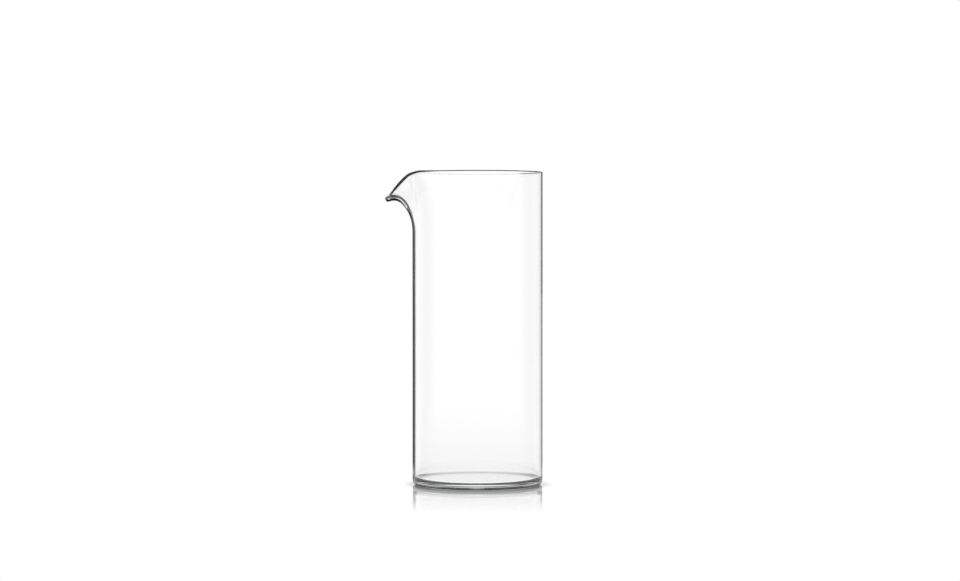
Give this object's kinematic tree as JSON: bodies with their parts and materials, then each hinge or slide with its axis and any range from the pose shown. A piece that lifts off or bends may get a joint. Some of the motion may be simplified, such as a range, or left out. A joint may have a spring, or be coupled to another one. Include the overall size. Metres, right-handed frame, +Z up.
{
  "type": "cocktail pitcher",
  "caption": "Tall straight-sided clear glass cocktail pitcher with a flat fused base, a fire-polished rim and a pulled pouring spout, for stirring and pouring mixed drinks.",
  "frame": {"origin": "centre of the flat underside, on the axis of the tube", "axes": "+Z up along the axis of the tube, -X towards the tip of the spout, +Y across"},
  "size_m": [0.1088, 0.09, 0.2162],
  "materials": {
    "clear_glass": "polished"
  },
  "bodies": {
    "root": {"tube_wall": "clear_glass", "base_disc": "clear_glass", "pouring_spout": "clear_glass", "rim_ring": "clear_glass"}
  },
  "joints": []
}
